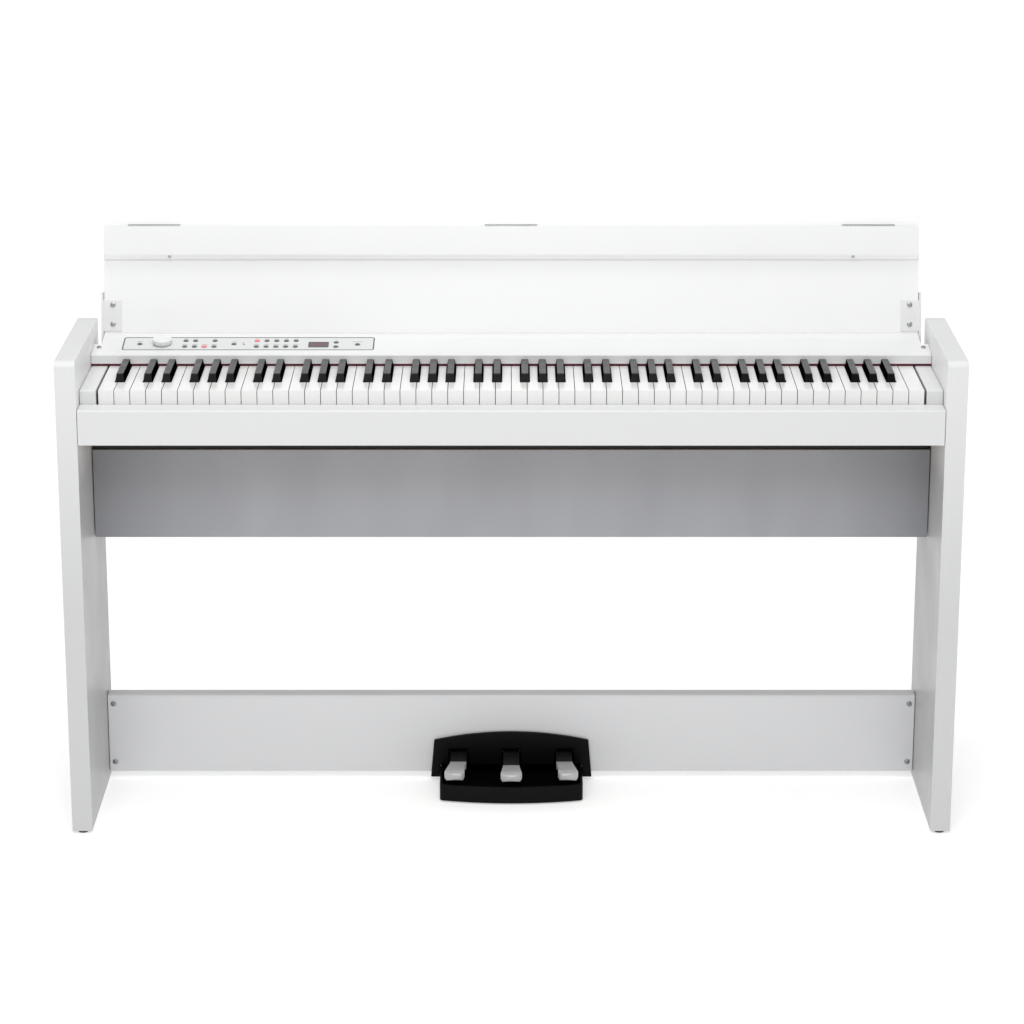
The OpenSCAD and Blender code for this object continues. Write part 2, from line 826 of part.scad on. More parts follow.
// A lever with a flared tip; left and right are the tip's reach to each side of the lever
module pedal(x, left, right, tip_y) {
    z1 = pedal_top_z;
    z0 = z1 - tip_drop;
    bow = 4;
    front = tip_y[0];
    back = tip_y[1];
    neck = [min(left, arm_half + 0.4), min(right, arm_half + 0.4)];
    color("silver") from_front() translate([x, 0, 0]) difference() {
        union() {
            block([-arm_half, back - 8, z1 - arm_t], [arm_half, axle_y, z1]);
            translate([-arm_half, axle_y, axle_z()]) rotate([0, 90, 0])
                cylinder(r = boss_r, h = 2 * arm_half);
            intersection() {
                translate([0, 0, z0 - 1]) linear_extrude(tip_drop + 2)
                    polygon(concat([[neck[1], back], [-neck[0], back], [-neck[0], back - 6]],
                                   [for (t = [-1:0.125:1])
                                       [t < 0 ? t * left : t * right, front + bow * pow(t, 2)]],
                                   [[neck[1], back - 6]]));
                along_x(-left - 1, right + 1)
                    polygon([[back, z1 - arm_t], [back, z1], [back - 1, z1 + 0.4],
                             [front + 8, z1 + 0.4], [front + 4, z1 - 0.4],
                             [front + 1.5, z1 - 2], [front, z1 - 5],
                             [front + 0.5, z0 + 2], [front + 2.5, z0]]);
                along_y(front - 1, back + 1)
                    polygon([[-left - 1, z1 + 1], [-left - 1, z0 + 2 * tip_corner + 2],
                             [-left + tip_corner + 0.5, z0 - 1], [right - tip_corner - 0.5, z0 - 1],
                             [right + 1, z0 + 2 * tip_corner + 2], [right + 1, z1 + 1]]);
            }
        }
        translate([-40, axle_y, axle_z()]) rotate([0, 90, 0])
            cylinder(r = axle_r + bore_clear, h = 80);
    }
}

module left_pedal() { pedal(-pedal_pitch, 21, 10.5, side_tip_y); }
module middle_pedal() { pedal(0, 16.7, 16.7, middle_tip_y); }
module right_pedal() { pedal(pedal_pitch, 10.5, 21, side_tip_y); }

// ---- lid ----

module lid_pivot_pins() {
    washer_r = 8;
    color("silver") both_sides() from_front() {
        translate([bracket_x - 1.5, lid_pivot_y, lid_pivot_z]) rotate([0, 90, 0])
            cylinder(r = pivot_pin_r, h = inner_half + pivot_pin_depth - bracket_x);
        translate([bracket_x + bracket_t + fit_gap, lid_pivot_y, lid_pivot_z]) rotate([0, 90, 0])
            cylinder(r = washer_r, h = inner_half - bracket_x - bracket_t - fit_gap);
        translate([bracket_x - 1, lid_stop_at()[0], lid_stop_at()[1]]) rotate([0, 90, 0])
            cylinder(r = pivot_pin_r, h = inner_half + pivot_pin_depth - bracket_x);
    }
}

module lid_board() {
    color("whitesmoke") on_lid() difference() {
        block([-lid_half, lid_inner_d, lid_s0], [lid_half, lid_outer_d, lid_s1]);
        for (x = hinge_xs)
            hinge_pocket(x, lid_inner_d - 1, lid_inner_d + hinge_leaf[1]);
    }
}

// Room for one hinge: the leaf's recess and a groove round the knuckles
module hinge_pocket(x, d0, d1) {
    half = hinge_len / 2 + 0.5;
    block([x - half, d0, flap_hinge_s - hinge_leaf[0] - 0.5], [x + half, d1, flap_hinge_s]);
    translate([x - half, flap_hinge_d, flap_hinge_s]) rotate([0, 90, 0])
        cylinder(r = knuckle_r + 0.6, h = 2 * half);
}

// A flat L: the eye on the pivot, a leg square to the lid, and an arm along the lid's edge
module bracket() {
    eye = bracket_eye_r;
    color("gainsboro") on_lid() {
        difference() {
            union() {
                translate([bracket_x, 0, 0]) rotate([0, 90, 0]) cylinder(r = eye, h = bracket_t);
                block([bracket_x, 0, -eye], [bracket_x + bracket_t, lid_outer_d, 0.5]);
                block([bracket_x, bracket_arm_d, -eye],
                      [bracket_x + bracket_t, lid_outer_d, bracket_arm_s]);
                block([flange_x, flange_d, flange_s[0]],
                      [bracket_x + bracket_t, lid_inner_d, flange_s[1]]);
            }
            translate([bracket_x - 1, 0, 0]) rotate([0, 90, 0])
                cylinder(r = pivot_pin_r + bore_clear, h = bracket_t + 2);
        }
    }
}

module lid_brackets() {
    both_sides() bracket();
}

module lid_screws() {
    color("silver") both_sides() on_lid()
        for (s = lid_screw_s)
            translate([lid_screw_x, flange_d, s]) rotate([90, 0, 0])
                pan_screw(lid_screw_r, 1.8, 0);
}

// One knuckle of a hinge barrel, counted from its left end
module knuckle(x, index) {
    pitch = hinge_len / knuckle_count;
    translate([x - hinge_len / 2 + index * pitch + knuckle_gap / 2, flap_hinge_d, flap_hinge_s])
        rotate([0, 90, 0]) cylinder(r = knuckle_r, h = pitch - knuckle_gap);
}

// The leaves on the lid board, with the outer and middle knuckles and the pin
module flap_hinge_leaves() {
    half = hinge_len / 2;
    color("gray") on_lid()
        for (x = hinge_xs) {
            difference() {
                union() {
                    block([x - half, lid_inner_d, flap_hinge_s - hinge_leaf[0]],
                          [x + half, lid_inner_d + hinge_leaf[1], flap_hinge_s - 0.4]);
                    for (index = [0:2:knuckle_count - 1]) {
                        knuckle(x, index);
                        knuckle_web(x, index, lid_inner_d + hinge_leaf[1]);
                    }
                }
                for (index = [1:2:knuckle_count - 1])
                    knuckle_room(x, index);
            }
            translate([x - half + 1, flap_hinge_d, flap_hinge_s]) rotate([0, 90, 0])
                cylinder(r = hinge_pin_r, h = hinge_len - 2);
        }
}

// Metal that joins a knuckle to its leaf, out to depth d
module knuckle_web(x, index, d) {
    pitch = hinge_len / knuckle_count;
    x0 = x - hinge_len / 2 + index * pitch + knuckle_gap / 2;
    block([x0, min(d, flap_hinge_d), flap_hinge_s - 1.6],
          [x0 + pitch - knuckle_gap, max(d, flap_hinge_d), flap_hinge_s - 0.4]);
}

// Space round another leaf's knuckle
module knuckle_room(x, index) {
    pitch = hinge_len / knuckle_count;
    translate([x - hinge_len / 2 + index * pitch, flap_hinge_d, flap_hinge_s])
        rotate([0, 90, 0]) cylinder(r = knuckle_r + 0.5, h = pitch);
}

// The leaves on the flap, with the knuckles between and a bore for the pin
module flap_hinge_knuckles() {
    half = hinge_len / 2;
    back_d = flap_hinge_d - flap_gap;
    color("gray") on_lid()
        for (x = hinge_xs)
            difference() {
                union() {
                    block([x - half, back_d - hinge_leaf[1], flap_hinge_s - hinge_leaf[0]],
                          [x + half, back_d, flap_hinge_s - knuckle_r - 0.8]);
                    for (index = [1:2:knuckle_count - 1]) {
                        knuckle(x, index);
                        knuckle_strap(x, index, back_d);
                    }
                }
                translate([x - half - 1, flap_hinge_d, flap_hinge_s]) rotate([0, 90, 0])
                    cylinder(r = hinge_pin_r + bore_clear, h = hinge_len + 2);
            }
}

// The strap from the flap's leaf up to one of its knuckles
module knuckle_strap(x, index, back_d) {
    pitch = hinge_len / knuckle_count;
    x0 = x - hinge_len / 2 + index * pitch + knuckle_gap / 2;
    block([x0, back_d - hinge_leaf[1], flap_hinge_s - knuckle_r - 1],
          [x0 + pitch - knuckle_gap, back_d, flap_hinge_s - 0.6]);
}

module flap_board() {
    back_d = flap_hinge_d - flap_gap;
    front_d = back_d - flap_t;
    end_s = flap_hinge_s - flap_len;
    color("whitesmoke") on_lid() difference() {
        along_x(-flap_half, flap_half)
            polygon([[back_d, end_s], [back_d, flap_hinge_s - flap_gap],
                     [front_d, flap_hinge_s - flap_gap], [front_d, end_s + flap_bevel[0]],
                     [front_d + flap_bevel[1], end_s]]);
        for (x = hinge_xs)
            hinge_pocket(x, back_d - hinge_leaf[1], back_d + 1);
        for (side = [-1, 1])
            translate([side * bumper_x, bumper_d(), end_s - 1])
                cylinder(r = bumper_r + 0.1, h = bumper_start + bumper_len + 1);
    }
}

function bumper_d() = flap_hinge_d - flap_gap - flap_t + bumper_r + 1.6;

module flap_bumpers() {
    end_s = flap_hinge_s - flap_len;
    color("darkgray") on_lid()
        for (side = [-1, 1])
            translate([side * bumper_x, bumper_d(), end_s + bumper_start])
                cylinder(r = bumper_r, h = bumper_len);
}

left_side_panel();
right_side_panel();
floor_feet();
keybed();
key_slip();
cheek_blocks();
top_panel();
display_window();
indicator_leds();
panel_screws();
rear_cover();
rear_jack_panel();
key_frame();
key_pivot_rod();
felt_strip();
key_rest_felt();
key_sensor_board();
main_board();
control_board();
speaker_box();
speaker_grille();
left_speaker();
right_speaker();
stretcher();
case_screws();
pedal_base();
pedal_back_plate();
pedal_axle();
pedal_springs();
left_pedal();
middle_pedal();
right_pedal();
lid_pivot_pins();
lid_board();
lid_brackets();
lid_screws();
flap_hinge_leaves();
flap_hinge_knuckles();
flap_board();
flap_bumpers();
volume_knob();
power_button();
effect_buttons();
bank_button();
sound_buttons();
value_up_button();
value_down_button();
record_button();
keys_c();
keys_c_sharp();
keys_d();
keys_d_sharp();
keys_e();
keys_f();
keys_f_sharp();
keys_g();
keys_g_sharp();
keys_a();
keys_a_sharp();
keys_b();
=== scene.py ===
import json
import math

import bmesh
import bpy
from mathutils import Matrix, Vector


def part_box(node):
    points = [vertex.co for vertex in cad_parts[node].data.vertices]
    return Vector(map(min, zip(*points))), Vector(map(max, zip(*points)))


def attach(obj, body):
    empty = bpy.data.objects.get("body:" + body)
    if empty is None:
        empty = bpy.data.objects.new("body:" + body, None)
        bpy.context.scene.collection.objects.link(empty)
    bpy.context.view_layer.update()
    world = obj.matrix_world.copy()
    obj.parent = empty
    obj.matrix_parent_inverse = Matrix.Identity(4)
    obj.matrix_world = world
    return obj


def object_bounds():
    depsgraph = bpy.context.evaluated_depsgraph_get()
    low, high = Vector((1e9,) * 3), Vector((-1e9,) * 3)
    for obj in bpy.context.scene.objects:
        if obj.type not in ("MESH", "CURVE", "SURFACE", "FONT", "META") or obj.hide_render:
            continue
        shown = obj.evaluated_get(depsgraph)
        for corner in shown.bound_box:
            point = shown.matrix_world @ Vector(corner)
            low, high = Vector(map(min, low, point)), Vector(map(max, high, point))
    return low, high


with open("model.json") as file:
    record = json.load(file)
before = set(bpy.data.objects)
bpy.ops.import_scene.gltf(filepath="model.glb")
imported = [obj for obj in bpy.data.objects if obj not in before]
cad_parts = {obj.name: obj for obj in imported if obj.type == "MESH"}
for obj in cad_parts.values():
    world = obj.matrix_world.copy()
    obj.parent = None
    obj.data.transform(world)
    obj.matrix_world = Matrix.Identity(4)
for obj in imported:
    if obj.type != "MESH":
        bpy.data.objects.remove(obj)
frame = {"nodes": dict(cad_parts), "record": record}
cad_box = [list(corner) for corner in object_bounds()]

MM = 0.001
NODES = frame["nodes"]

# Slope of the control panel, and the field inside its outline: along X and up the slope
SLOPE = math.radians(10)
FIELD_X = (-596.9 * MM, -210.5 * MM)
FIELD_UP = (17.6 * MM, 65.2 * MM)


# ---- material building ----

class Shader:
    """One procedural material: a Principled shader with helpers that add what varies."""

    def __init__(self, name, color, roughness, **sockets):
        self.material = bpy.data.materials.new(name)
        self.material.use_nodes = True
        self.tree = self.material.node_tree
        self.bsdf = self.tree.nodes["Principled BSDF"]
        self.color = color
        self.set("Base Color", (*color, 1))
        self.set("Roughness", roughness)
        for socket, value in sockets.items():
            self.set(socket.replace("_", " "), value)
        coordinates = self.tree.nodes.new("ShaderNodeTexCoord")
        self.place = coordinates.outputs["Object"]
        self.facing = coordinates.outputs["Normal"]
        self.normal = None

    def set(self, socket, value):
        self.bsdf.inputs[socket].default_value = value

    def link(self, output, entry):
        self.tree.links.new(output, entry)

    def stretched(self, stretch):
        node = self.tree.nodes.new("ShaderNodeMapping")
        node.inputs["Scale"].default_value = stretch
        self.link(self.place, node.inputs["Vector"])
        return node.outputs["Vector"]

    def noise(self, scale, detail=4, stretch=(1, 1, 1), rough=0.55):
        node = self.tree.nodes.new("ShaderNodeTexNoise")
        node.inputs["Scale"].default_value = scale
        node.inputs["Detail"].default_value = detail
        node.inputs["Roughness"].default_value = rough
        self.link(self.stretched(stretch), node.inputs["Vector"])
        return node.outputs["Fac"]

    def cells(self, scale, stretch=(1, 1, 1), feature="F1", randomness=1.0):
        node = self.tree.nodes.new("ShaderNodeTexVoronoi")
        node.feature = feature
        node.inputs["Scale"].default_value = scale
        node.inputs["Randomness"].default_value = randomness
        self.link(self.stretched(stretch), node.inputs["Vector"])
        return node.outputs["Distance"]

    def ramp(self, value, low, high, out_low=0.0, out_high=1.0):
        node = self.tree.nodes.new("ShaderNodeMapRange")
        node.inputs["From Min"].default_value = low
        node.inputs["From Max"].default_value = high
        node.inputs["To Min"].default_value = out_low
        node.inputs["To Max"].default_value = out_high
        self.link(value, node.inputs["Value"])
        return node.outputs["Result"]

    def math(self, operation, first, second):
        node = self.tree.nodes.new("ShaderNodeMath")
        node.operation = operation
        for entry, value in zip(node.inputs, (first, second)):
            if isinstance(value, (int, float)):
                entry.default_value = value
            else:
                self.link(value, entry)
        return node.outputs["Value"]

    def mix(self, factor, first, second):
        """A colour between two; each is a colour or another node's output."""
        node = self.tree.nodes.new("ShaderNodeMix")
        node.data_type = "RGBA"
        self.link(factor, node.inputs["Factor"])
        for entry, value in ((node.inputs["A"], first), (node.inputs["B"], second)):
            entry = [i for i in node.inputs if i.name == entry.name and i.type == "RGBA"][0]
            if isinstance(value, (tuple, list)):
                entry.default_value = (*value, 1)
            else:
                self.link(value, entry)
        return [o for o in node.outputs if o.type == "RGBA"][0]

    def tint(self, output):
        self.link(output, self.bsdf.inputs["Base Color"])

    def vary_color(self, amount, scale, stretch=(1, 1, 1)):
        """Slow drift of the base colour, a little darker and lighter."""
        value = self.ramp(self.noise(scale, 3, stretch), 0.3, 0.7)
        dark = tuple(c * (1 - amount) for c in self.color)
        light = tuple(min(1.0, c * (1 + amount)) for c in self.color)
        self.tint(self.mix(value, dark, light))

    def vary_roughness(self, low, high, scale, stretch=(1, 1, 1)):
        value = self.ramp(self.noise(scale, 5, stretch), 0.32, 0.68, low, high)
        self.link(value, self.bsdf.inputs["Roughness"])

    def bump(self, height, strength, depth):
        """Adds one layer of relief; depth is in metres."""
        node = self.tree.nodes.new("ShaderNodeBump")
        node.inputs["Strength"].default_value = strength
        node.inputs["Distance"].default_value = depth
        self.link(height, node.inputs["Height"])
        if self.normal is not None:
            self.link(self.normal, node.inputs["Normal"])
        self.normal = node.outputs["Normal"]
        self.link(self.normal, self.bsdf.inputs["Normal"])

    def axis(self, index, vector=None):
        """One coordinate of the place, or of another vector."""
        node = self.tree.nodes.new("ShaderNodeSeparateXYZ")
        self.link(vector or self.place, node.inputs["Vector"])
        return node.outputs[index]

    def size_of(self, value):
        """A value without its sign."""
        return self.math("ABSOLUTE", value, 0)

    def distance(self):
        """Distance from the object's origin."""
        node = self.tree.nodes.new("ShaderNodeVectorMath")
        node.operation = "LENGTH"
        self.link(self.place, node.inputs[0])
        return node.outputs["Value"]


def foil_relief(s, roughness):
    """Faint pores along X, orange peel and handling marks of a satin foil."""
    s.vary_roughness(roughness - 0.05, roughness + 0.09, 9)
    s.bump(s.noise(90, 4, (0.05, 1, 1)), 0.10, 0.00025)
    s.bump(s.noise(700, 2), 0.08, 0.00012)


def foil_board(name, color, roughness=0.36, painted_shading_side=None, painted_shading_color=None):
    """Satin foil pressed over board; the side given as (axis, sign) takes a colour of its own,
    painted shade on the cabinet's back faces and painted light on the flap's downward faces.
    """
    s = Shader(name, color, roughness, IOR=1.46)
    s.vary_color(0.012, 2.2, (0.6, 1, 1))
    if painted_shading_side:
        # The chosen side gets painted shade on the cabinet and painted light on the flap.
        towards = s.math("MULTIPLY", s.axis(painted_shading_side[0], s.facing), painted_shading_side[1])
        s.tint(s.mix(s.ramp(towards, 0.2, 0.5), color, painted_shading_color))
    foil_relief(s, roughness)
    return s.material


def leg_foil():
    """White foil with painted shade: the inner faces are painted greyer under the keyboard and
    stay paler beside the keys; the other faces are painted a shaded grey, darker towards the
    floor.
    """
    roughness = 0.36
    s = Shader("leg_foil_painted_shade", (0.6, 0.603, 0.607), roughness, IOR=1.46)
    # Inward faces get painted shade below the keyboard; the other faces get painted shade growing
    # darker towards the floor.
    inward = s.math("MULTIPLY", s.axis(0), s.axis(0, s.facing))
    inner_painted_shade = s.mix(s.ramp(s.axis(2), 0.55, 0.64), (0.46, 0.463, 0.468), (0.84, 0.842, 0.845))
    outer_painted_shade = s.mix(s.ramp(s.axis(2), 0.35, 0.7), (0.58, 0.583, 0.587), (0.68, 0.683, 0.687))
    s.tint(s.mix(s.ramp(inward, -0.5, -0.3), inner_painted_shade, outer_painted_shade))
    foil_relief(s, roughness)
    return s.material


def moulded(name, color, roughness, grain=1500, depth=0.00006):
    """Injection-moulded plastic with a spark-eroded grain."""
    s = Shader(name, color, roughness)
    s.vary_color(0.02, 6)
    s.vary_roughness(roughness - 0.06, roughness + 0.08, 30)
    s.bump(s.noise(grain, 3), 0.35, depth)
    return s.material


def white_key_plastic():
    """Glossy tops and fronts; the sides, hidden between the keys, are painted dark grey as
    painted shade.
    """
    s = Shader("white_key_gloss", (0.78, 0.78, 0.775), 0.2, IOR=1.5, Coat_Weight=0.25,
               Coat_Roughness=0.08, Subsurface_Weight=0.03, Subsurface_Scale=0.004)
    painted_shade_side = s.ramp(s.size_of(s.axis(0, s.facing)), 0.6, 0.9)
    drift = s.ramp(s.noise(14, 3), 0.3, 0.7)
    top = s.mix(drift, (0.775, 0.775, 0.77), (0.79, 0.79, 0.785))
    # The key sides are painted dark grey as painted shade in the gaps between keys.
    s.tint(s.mix(painted_shade_side, top, (0.09, 0.09, 0.09)))
    s.vary_roughness(0.15, 0.27, 24)
    s.bump(s.noise(260, 3, (1, 0.3, 1)), 0.05, 0.00012)
    return s.material


def black_key_plastic():
    """Matt, finely grained tops with paler patches; the fronts and sides are painted almost black
    as painted shade.
    """
    s = Shader("black_key_satin", (0.03, 0.03, 0.032), 0.38)
    upper = s.ramp(s.axis(2, s.facing), 0.75, 0.95)
    painted_shade_side = s.ramp(s.size_of(s.axis(0, s.facing)), 0.5, 0.9)
    shine = s.math("ADD", s.ramp(painted_shade_side, 0, 1, 0.05, 0.0), s.ramp(upper, 0, 1, 0.0, 0.13))
    s.set("Specular IOR Level", 0.1)
    s.link(shine, s.bsdf.inputs["Specular IOR Level"])
    wear = s.ramp(s.noise(45, 3), 0.45, 0.7)
    top = s.mix(wear, (0.072, 0.072, 0.073), (0.095, 0.095, 0.096))
    # Fronts and sides are painted almost black as painted shade, against the greyer tops.
    s.tint(s.mix(upper, (0.0015, 0.0015, 0.002), top))
    grain = s.ramp(s.noise(60, 5), 0.32, 0.68, 0.0, 0.12)
    s.link(s.math("ADD", grain, s.ramp(upper, 0, 1, 0.16, 0.36)), s.bsdf.inputs["Roughness"])
    s.bump(s.noise(1800, 3, (1, 0.5, 1)), 0.3, 0.00005)
    return s.material


def perforated_steel():
    """Silver-grey painted steel: close small holes painted as dark dots of painted shade, a
    cloudy painted sheen, and painted shade towards both ends.
    """
    s = Shader("grille_silver", (0.31, 0.315, 0.335), 0.42, Metallic=0.2)
    holes = s.cells(620, (1, 0.001, 1), randomness=0.0)
    # A cloudy painted sheen, and painted shade towards both ends.
    painted_sheen_clouds = s.ramp(s.noise(7, 2, (1, 1, 0.35)), 0.3, 0.7)
    painted_sheen = s.mix(painted_sheen_clouds, (0.315, 0.32, 0.342), (0.36, 0.366, 0.388))
    painted_shade_ends = s.ramp(s.size_of(s.axis(0)), 0.42, 0.66)
    painted_sheen_and_shade = s.mix(painted_shade_ends, painted_sheen, (0.25, 0.254, 0.272))
    # The holes are painted as dark dots of painted shade.
    s.tint(s.mix(s.ramp(holes, 0.24, 0.34, 0.12, 0.0), painted_sheen_and_shade, (0.12, 0.122, 0.13)))
    s.vary_roughness(0.36, 0.5, 5)
    s.bump(s.ramp(holes, 0.2, 0.36), 0.15, 0.0002)
    s.bump(s.noise(1200, 2), 0.12, 0.00005)
    return s.material


def panel_moulding():
    """White control panel; the field inside the printed outline is a shade greyer."""
    s = Shader("panel_white_moulding", (0.73, 0.733, 0.735), 0.42)
    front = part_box("top_panel")[0].y
    inside = None
    for index, low, high in ((0, FIELD_X[0], FIELD_X[1]),
                             (1, front + FIELD_UP[0] * math.cos(SLOPE),
                              front + FIELD_UP[1] * math.cos(SLOPE))):
        after = s.ramp(s.axis(index), low, low + 0.5 * MM)
        before = s.ramp(s.axis(index), high - 0.5 * MM, high, 1, 0)
        band = s.math("MULTIPLY", after, before)
        inside = band if inside is None else s.math("MULTIPLY", inside, band)
    upper = s.ramp(s.axis(2, s.facing), 0.9, 0.96)
    inside = s.math("MULTIPLY", inside, upper)
    drift = s.ramp(s.noise(6, 3), 0.3, 0.7)
    plain = s.mix(drift, (0.68, 0.683, 0.685), (0.7, 0.703, 0.705))
    s.tint(s.mix(inside, plain, (0.61, 0.615, 0.618)))
    s.vary_roughness(0.36, 0.5, 30)
    s.bump(s.noise(1500, 3), 0.35, 0.00006)
    return s.material


def pressed_felt():
    """Matt woollen felt with short fibres and clumps."""
    s = Shader("maroon_felt", (0.09, 0.009, 0.018), 0.95, Sheen_Weight=0.5, Sheen_Roughness=0.4)
    s.vary_color(0.25, 220)
    s.bump(s.noise(1400, 6, rough=0.75), 0.9, 0.0006)
    s.bump(s.cells(600), 0.4, 0.0003)
    return s.material


def piano_black():
    """Satin black moulding with fine dust and light swirls."""
    s = Shader("pedal_housing_satin", (0.003, 0.003, 0.0032), 0.3)
    s.set("Specular IOR Level", 0.09)
    dust = s.ramp(s.noise(420, 6, rough=0.7), 0.66, 0.78)
    s.tint(s.mix(dust, s.color, (0.012, 0.012, 0.012)))
    s.vary_roughness(0.3, 0.44, 16)
    s.bump(s.noise(35, 3), 0.08, 0.0004)
    return s.material


def steel(name, color, roughness, brush=(1, 1, 1)):
    """Plated steel; brush stretches its fine relief."""
    s = Shader(name, color, roughness, Metallic=1.0)
    s.vary_color(0.08, 60)
    s.vary_roughness(roughness - 0.08, roughness + 0.12, 140, brush)
    s.bump(s.noise(900, 3, brush), 0.25, 0.00005)
    return s.material


# Plated length of the middle pedal, how much further back the outer tips end, and half the
# distance between two pedals
TIP_LENGTH = 36.5 * MM
SIDE_TIP_SETBACK = 15 * MM
BETWEEN_PEDALS = 42 * MM


def pedal_lever():
    """Satin plated tip with paler worn patches, its upward faces paler as painted light; behind
    it the lever is painted black.
    """
    s = Shader("pedal_tip_and_lever", (0.6, 0.6, 0.61), 0.36)
    tip_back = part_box("middle_pedal")[0].y + TIP_LENGTH
    aside = s.ramp(s.size_of(s.axis(0)), BETWEEN_PEDALS - MM, BETWEEN_PEDALS)
    along = s.math("SUBTRACT", s.axis(1), s.math("MULTIPLY", aside, SIDE_TIP_SETBACK))
    painted = s.ramp(along, tip_back - 0.1 * MM, tip_back + 0.1 * MM)
    scuffs = s.ramp(s.noise(30, 3), 0.3, 0.7)
    worn_and_painted_light = s.mix(scuffs, (0.6, 0.6, 0.61), (0.68, 0.68, 0.69))
    # Upward faces take the paler worn tone as painted light; the other faces a darker grey.
    plated = s.mix(s.ramp(s.axis(2, s.facing), 0.4, 0.9), (0.46, 0.46, 0.47), worn_and_painted_light)
    s.tint(s.mix(painted, plated, (0.012, 0.012, 0.013)))
    rough = s.ramp(s.noise(60, 3), 0.3, 0.7, 0.32, 0.42)
    s.link(s.math("ADD", rough, s.math("MULTIPLY", painted, 0.1)), s.bsdf.inputs["Roughness"])
    s.link(s.ramp(painted, 0, 1, 0.45, 0.0), s.bsdf.inputs["Metallic"])
    s.bump(s.noise(700, 3, (0.15, 1, 1)), 0.15, 0.00005)
    return s.material


def raw_board():
    s = Shader("raw_particle_board", (0.5, 0.37, 0.24), 0.8)
    chips = s.cells(260, (1, 0.5, 1))
    s.tint(s.mix(s.ramp(chips, 0.0, 0.6), (0.34, 0.24, 0.14), (0.6, 0.46, 0.31)))
    s.bump(chips, 0.5, 0.0005)
    return s.material


def circuit_board():
    s = Shader("circuit_board", (0.02, 0.14, 0.06), 0.35, Coat_Weight=0.3)
    tracks = s.ramp(s.cells(140, (1, 2.4, 1), "DISTANCE_TO_EDGE"), 0.02, 0.06)
    s.tint(s.mix(tracks, (0.05, 0.25, 0.1), (0.015, 0.11, 0.045)))
    s.bump(tracks, 0.2, 0.0001)
    return s.material


def speaker_cone():
    s = Shader("speaker_cone", (0.02, 0.02, 0.021), 0.7)
    s.vary_color(0.3, 80)
    s.bump(s.noise(500, 5), 0.5, 0.0003)
    return s.material


def tinted_window():
    s = Shader("display_tint", (0.012, 0.008, 0.009), 0.08, IOR=1.5, Coat_Weight=0.6)
    s.vary_color(0.2, 60)
    s.vary_roughness(0.06, 0.16, 90)
    return s.material


def glowing(name, color, strength):
    """A lens lit from behind, brightest in the middle of its grain."""
    s = Shader(name, color, 0.3, Emission_Strength=strength)
    s.set("Emission Color", (*color, 1))
    s.vary_color(0.15, 700)
    s.bump(s.noise(1500, 2), 0.3, 0.00005)
    return s.material


def bumper_rubber():
    s = Shader("bumper_rubber", (0.42, 0.42, 0.425), 0.75)
    s.vary_color(0.1, 150)
    s.bump(s.noise(900, 4), 0.5, 0.0001)
    return s.material


def printed_ink(name, color):
    s = Shader(name, color, 0.55)
    s.vary_color(0.12, 900)
    s.bump(s.noise(2000, 2), 0.2, 0.00002)
    return s.material


SLOT_MATERIALS = {
    # The cabinet foil's back faces (+Y) are painted greyer as painted shade.
    "cabinet_white": foil_board("cabinet_foil_white_painted_shade", (0.82, 0.823, 0.826),
                                painted_shading_side=(1, 1), painted_shading_color=(0.69, 0.693, 0.696)),
    "stretcher_grey": foil_board("stretcher_foil_grey", (0.675, 0.68, 0.69), 0.4),
    "black_board": foil_board("speaker_box_foil_black", (0.02, 0.02, 0.021), 0.5),
    "board_wood": raw_board(),
    "panel_plastic": panel_moulding(),
    "knob_plastic": moulded("knob_white_moulding", (0.7, 0.703, 0.706), 0.35, 1100),
    "frame_plastic": moulded("key_frame_moulding", (0.4, 0.4, 0.42), 0.6),
    "black_plastic": moulded("black_moulding", (0.02, 0.02, 0.02), 0.5, 1200),
    "button_grey": moulded("button_grey_rubber", (0.1, 0.1, 0.104), 0.5, 1300),
    "display_dark": tinted_window(),
    "led_red": glowing("indicator_lens", (0.07, 0.02, 0.02), 0.05),
    "white_key": white_key_plastic(),
    "black_key": black_key_plastic(),
    "maroon_felt": pressed_felt(),
    "circuit_green": circuit_board(),
    "grille_metal": perforated_steel(),
    "speaker_black": speaker_cone(),
    "pedal_black": piano_black(),
    "pedal_metal": pedal_lever(),
    "screw_steel": steel("zinc_plated_steel", (0.34, 0.34, 0.345), 0.34),
    "hinge_steel": steel("hinge_steel", (0.3, 0.3, 0.31), 0.42, (0.1, 1, 1)),
    "bracket_paint": moulded("bracket_pale_paint", (0.72, 0.723, 0.726), 0.4, 900, 0.00008),
    "bumper_rubber": bumper_rubber(),
}

# Nodes whose look differs from the rest of their slot; the case and flap foils are darker copies
# of the white foil as painted shade, and the flap's downward faces are paler as painted light
CASE_FOIL_PAINTED_SHADE = foil_board("case_foil_painted_shade", (0.655, 0.658, 0.662))
FLAP_FOIL_PAINTED_SHADING = foil_board("flap_foil_painted_shading", (0.735, 0.738, 0.741), painted_shading_side=(2, -1),
                       painted_shading_color=(0.93, 0.932, 0.935))
LEG_FOIL_PAINTED_SHADE = leg_foil()
LID_SCREW_STEEL = steel("nickel_plated_steel", (0.46, 0.46, 0.465), 0.34)
OWN_MATERIALS = {"left_side_panel": LEG_FOIL_PAINTED_SHADE, "right_side_panel": LEG_FOIL_PAINTED_SHADE,
                 "key_slip": CASE_FOIL_PAINTED_SHADE, "cheek_blocks": CASE_FOIL_PAINTED_SHADE, "rear_cover": CASE_FOIL_PAINTED_SHADE,
                 "flap_board": FLAP_FOIL_PAINTED_SHADING, "lid_screws": LID_SCREW_STEEL}

